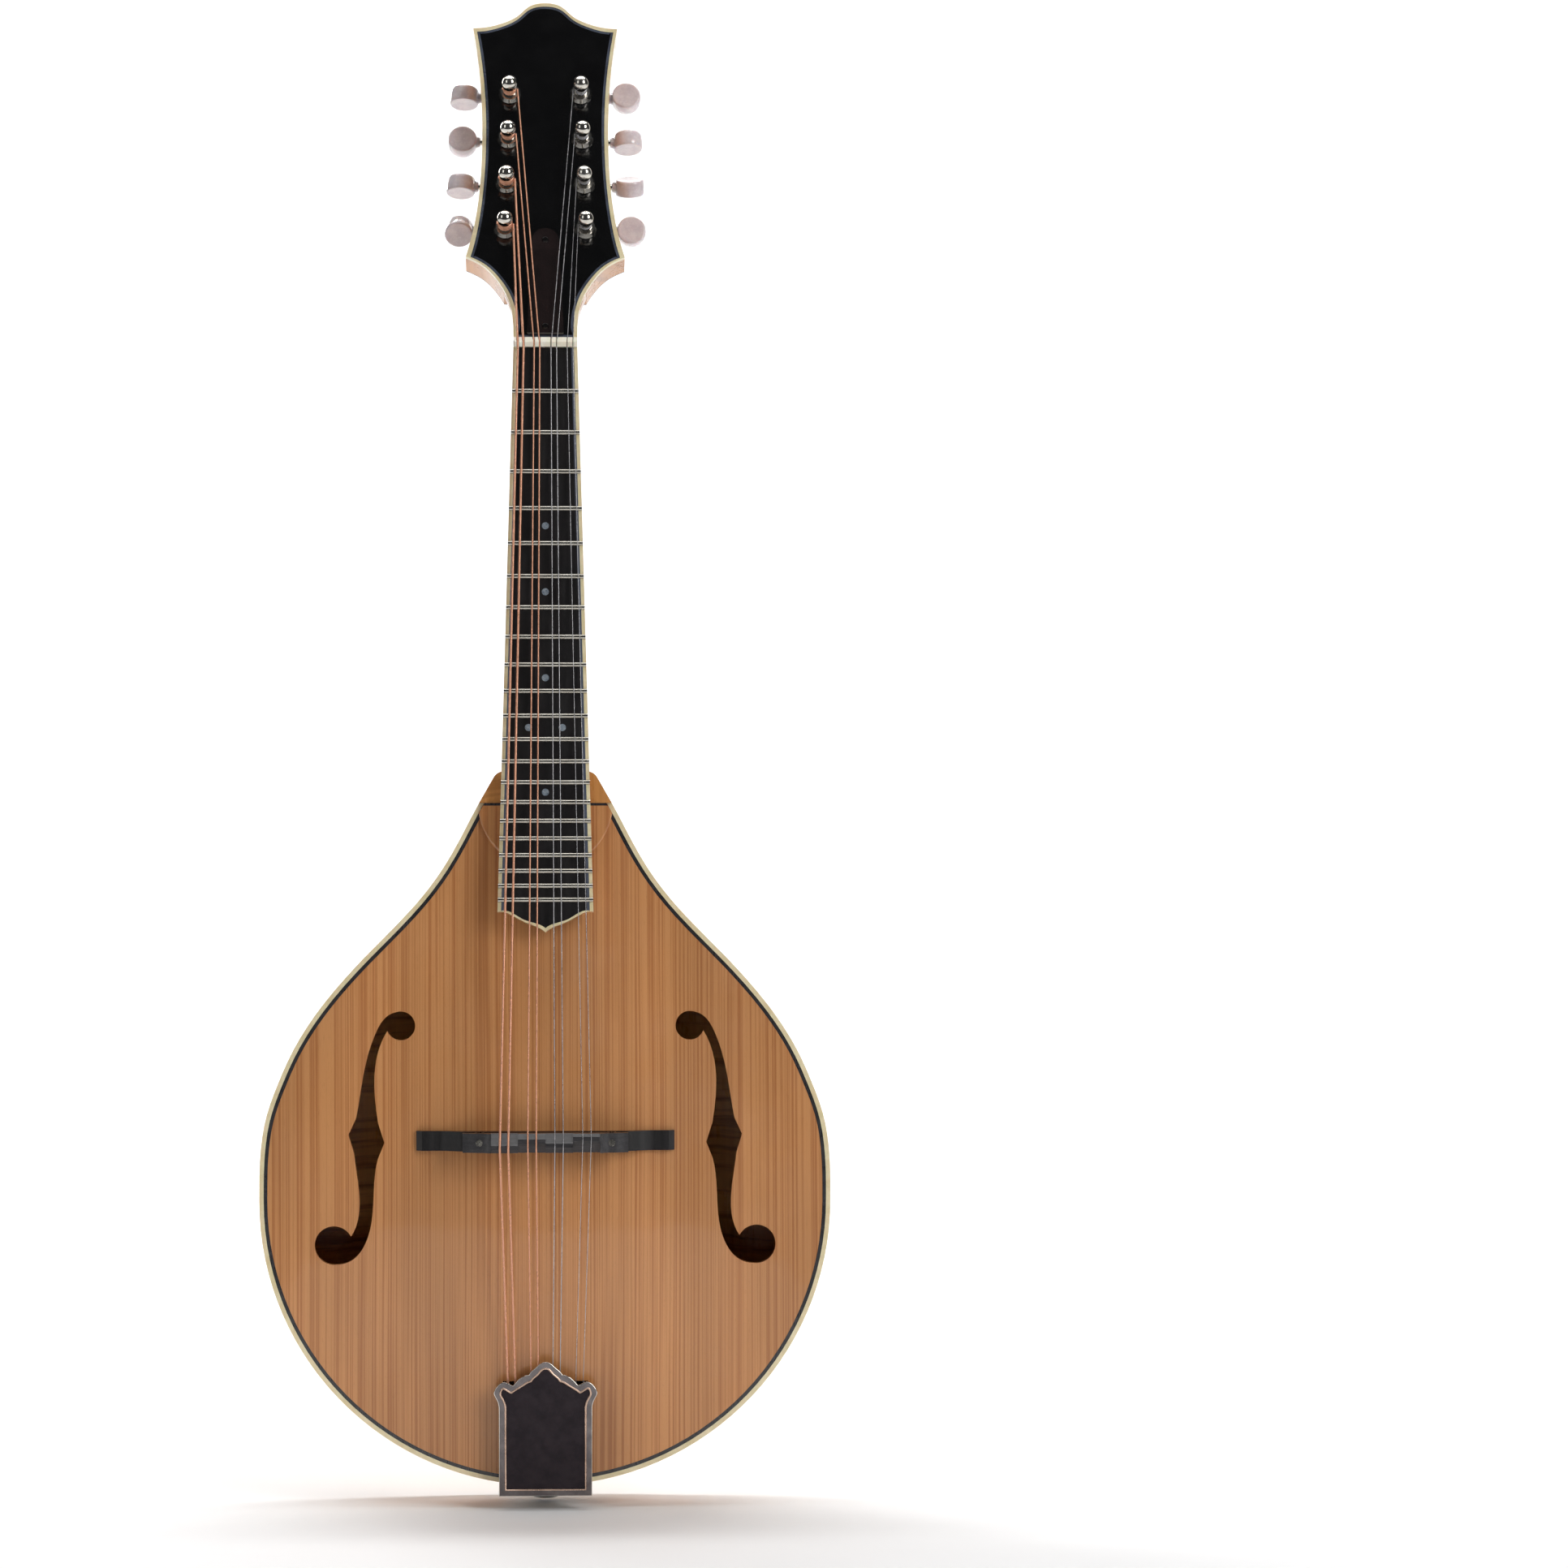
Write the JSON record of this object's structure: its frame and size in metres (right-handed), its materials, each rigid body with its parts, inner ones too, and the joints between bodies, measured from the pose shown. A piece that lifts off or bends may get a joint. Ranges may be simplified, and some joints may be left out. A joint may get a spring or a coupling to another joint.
{
  "type": "mandolin",
  "caption": "A-style f-hole mandolin: carved hollow body, bound fretted neck, adjustable bridge, hinged tailpiece cover and geared tuners for double-course strings.",
  "frame": {"origin": "on the neck's glue plane at the fingerboard edge of the nut, midway across the neck, where a wall hanger's yoke takes the neck under the peghead", "axes": "+Z along the body towards the peghead tip, -Y out of the front towards the player's right hand and the strings, +X towards the treble side"},
  "size_m": [0.254, 0.1197, 0.6789],
  "materials": {
    "spruce": "gloss lacquer over spruce",
    "maple_back": "gloss lacquer over flamed maple",
    "maple_neck": "gloss lacquer over maple",
    "inner_wood": "raw inner wood",
    "ebony": "oiled ebony",
    "black_lacquer": "gloss black lacquer",
    "binding": "cream binding",
    "purfling": "dark purfling lines",
    "bone": "polished bone",
    "pearl": "pearl",
    "nickel": "polished nickel",
    "nickel_silver": "nickel silver",
    "steel_string": "plain steel wire",
    "bronze_string": "bronze wound wire",
    "button": "white pearloid",
    "black_metal": "blackened metal",
    "black_plastic": "gloss black",
    "cover_panel": "nickel border round a dark panel",
    "rod_steel": "steel rod"
  },
  "bodies": {
    "instrument": {"back_plate_bass": "maple_back", "back_plate_treble": "maple_back", "body_binding": "binding", "bridge_base": "ebony", "bridge_studs": "nickel_silver", "end_pin": "black_plastic", "fingerboard": "ebony", "fingerboard_binding": "binding", "frets": "nickel_silver", "head_block": "inner_wood", "linings": "inner_wood", "neck": "maple_neck", "nut": "bone", "peghead_back_veneer": "black_lacquer", "peghead_binding": "binding", "peghead_overlay": "black_lacquer", "plain_strings": "steel_string", "position_dots": "pearl", "post_bushings": "nickel", "purfling": "purfling", "ribs": "maple_back", "tail_block": "inner_wood", "tailpiece_base": "nickel", "tailpiece_screws": "nickel", "tone_bars": "inner_wood", "top_plate": "spruce", "truss_cover_screws": "nickel", "truss_rod": "rod_steel", "truss_rod_cover": "black_plastic", "tuner_plate_screws": "nickel", "tuner_plates": "nickel", "wound_strings": "bronze_string"},
    "shaft_bass_1": {"tuner_worm_bass_1": "nickel", "tuner_button_bass_1": "button"},
    "post_bass_1": {"tuner_post_bass_1": "nickel"},
    "shaft_bass_2": {"tuner_worm_bass_2": "nickel", "tuner_button_bass_2": "button"},
    "post_bass_2": {"tuner_post_bass_2": "nickel"},
    "shaft_bass_3": {"tuner_worm_bass_3": "nickel", "tuner_button_bass_3": "button"},
    "post_bass_3": {"tuner_post_bass_3": "nickel"},
    "shaft_bass_4": {"tuner_worm_bass_4": "nickel", "tuner_button_bass_4": "button"},
    "post_bass_4": {"tuner_post_bass_4": "nickel"},
    "shaft_treble_1": {"tuner_worm_treble_1": "nickel", "tuner_button_treble_1": "button"},
    "post_treble_1": {"tuner_post_treble_1": "nickel"},
    "shaft_treble_2": {"tuner_worm_treble_2": "nickel", "tuner_button_treble_2": "button"},
    "post_treble_2": {"tuner_post_treble_2": "nickel"},
    "shaft_treble_3": {"tuner_worm_treble_3": "nickel", "tuner_button_treble_3": "button"},
    "post_treble_3": {"tuner_post_treble_3": "nickel"},
    "shaft_treble_4": {"tuner_worm_treble_4": "nickel", "tuner_button_treble_4": "button"},
    "post_treble_4": {"tuner_post_treble_4": "nickel"},
    "saddle": {"bridge_saddle": "ebony"},
    "wheel_bass": {"bridge_wheel_bass": "black_metal"},
    "wheel_treble": {"bridge_wheel_treble": "black_metal"},
    "cover": {"tailpiece_cover": "cover_panel"}
  },
  "joints": [
    {"name": "button_turn_bass_1", "type": "hinge", "parent": "instrument", "child": "shaft_bass_1", "pos_m": [-0.01597, 0.06373, 0.11997], "axis": [-0.9996, 0.0105, 0.0273], "continuous": true},
    {"name": "post_turn_bass_1", "type": "hinge", "parent": "instrument", "child": "post_bass_1", "pos_m": [-0.0162, 0.04435, 0.11885], "axis": [0, -0.9336, 0.3584], "continuous": true},
    {"name": "button_turn_bass_2", "type": "hinge", "parent": "instrument", "child": "shaft_bass_2", "pos_m": [-0.01663, 0.05556, 0.09868], "axis": [-0.9996, 0.0105, 0.0273], "continuous": true},
    {"name": "post_turn_bass_2", "type": "hinge", "parent": "instrument", "child": "post_bass_2", "pos_m": [-0.01687, 0.03617, 0.09756], "axis": [0, -0.9336, 0.3584], "continuous": true},
    {"name": "button_turn_bass_3", "type": "hinge", "parent": "instrument", "child": "shaft_bass_3", "pos_m": [-0.0173, 0.04739, 0.0774], "axis": [-0.9996, 0.0105, 0.0273], "continuous": true},
    {"name": "post_turn_bass_3", "type": "hinge", "parent": "instrument", "child": "post_bass_3", "pos_m": [-0.01753, 0.028, 0.07627], "axis": [0, -0.9336, 0.3584], "continuous": true},
    {"name": "button_turn_bass_4", "type": "hinge", "parent": "instrument", "child": "shaft_bass_4", "pos_m": [-0.01797, 0.03922, 0.05611], "axis": [-0.9996, 0.0105, 0.0273], "continuous": true},
    {"name": "post_turn_bass_4", "type": "hinge", "parent": "instrument", "child": "post_bass_4", "pos_m": [-0.0182, 0.01983, 0.05499], "axis": [0, -0.9336, 0.3584], "continuous": true},
    {"name": "button_turn_treble_1", "type": "hinge", "parent": "instrument", "child": "shaft_treble_1", "pos_m": [0.01597, 0.06373, 0.11997], "axis": [0.9996, 0.0105, 0.0273], "continuous": true},
    {"name": "post_turn_treble_1", "type": "hinge", "parent": "instrument", "child": "post_treble_1", "pos_m": [0.0162, 0.04435, 0.11885], "axis": [0, -0.9336, 0.3584], "continuous": true},
    {"name": "button_turn_treble_2", "type": "hinge", "parent": "instrument", "child": "shaft_treble_2", "pos_m": [0.01663, 0.05556, 0.09868], "axis": [0.9996, 0.0105, 0.0273], "continuous": true},
    {"name": "post_turn_treble_2", "type": "hinge", "parent": "instrument", "child": "post_treble_2", "pos_m": [0.01687, 0.03617, 0.09756], "axis": [0, -0.9336, 0.3584], "continuous": true},
    {"name": "button_turn_treble_3", "type": "hinge", "parent": "instrument", "child": "shaft_treble_3", "pos_m": [0.0173, 0.04739, 0.0774], "axis": [0.9996, 0.0105, 0.0273], "continuous": true},
    {"name": "post_turn_treble_3", "type": "hinge", "parent": "instrument", "child": "post_treble_3", "pos_m": [0.01753, 0.028, 0.07627], "axis": [0, -0.9336, 0.3584], "continuous": true},
    {"name": "button_turn_treble_4", "type": "hinge", "parent": "instrument", "child": "shaft_treble_4", "pos_m": [0.01797, 0.03922, 0.05611], "axis": [0.9996, 0.0105, 0.0273], "continuous": true},
    {"name": "post_turn_treble_4", "type": "hinge", "parent": "instrument", "child": "post_treble_4", "pos_m": [0.0182, 0.01983, 0.05499], "axis": [0, -0.9336, 0.3584], "continuous": true},
    {"name": "wheel_turn_bass", "type": "hinge", "parent": "saddle", "child": "wheel_bass", "pos_m": [-0.0292, -0.03605, -0.35256], "axis": [0, -1, 0], "range_deg": [-720, 0]},
    {"name": "wheel_turn_treble", "type": "hinge", "parent": "saddle", "child": "wheel_treble", "pos_m": [0.0292, -0.03605, -0.35256], "axis": [0, -1, 0], "range_deg": [-720, 0]},
    {"name": "saddle_lift", "type": "slide", "parent": "instrument", "child": "saddle", "axis": [0, -1, 0], "range_m": [-0.0016, 0]},
    {"name": "cover_hinge", "type": "hinge", "parent": "instrument", "child": "cover", "pos_m": [0, -0.02265, -0.5086], "axis": [1, 0, 0], "range_deg": [0, 100]}
  ],
  "couplings": [
    {"joint": "post_turn_bass_1", "follows": "button_turn_bass_1", "ratio": -0.0625},
    {"joint": "post_turn_bass_2", "follows": "button_turn_bass_2", "ratio": -0.0625},
    {"joint": "post_turn_bass_3", "follows": "button_turn_bass_3", "ratio": -0.0625},
    {"joint": "post_turn_bass_4", "follows": "button_turn_bass_4", "ratio": -0.0625},
    {"joint": "post_turn_treble_1", "follows": "button_turn_treble_1", "ratio": 0.0625},
    {"joint": "post_turn_treble_2", "follows": "button_turn_treble_2", "ratio": 0.0625},
    {"joint": "post_turn_treble_3", "follows": "button_turn_treble_3", "ratio": 0.0625},
    {"joint": "post_turn_treble_4", "follows": "button_turn_treble_4", "ratio": 0.0625},
    {"joint": "wheel_turn_bass", "follows": "saddle_lift", "rad_per_m": 7854},
    {"joint": "wheel_turn_treble", "follows": "saddle_lift", "rad_per_m": 7854}
  ]
}
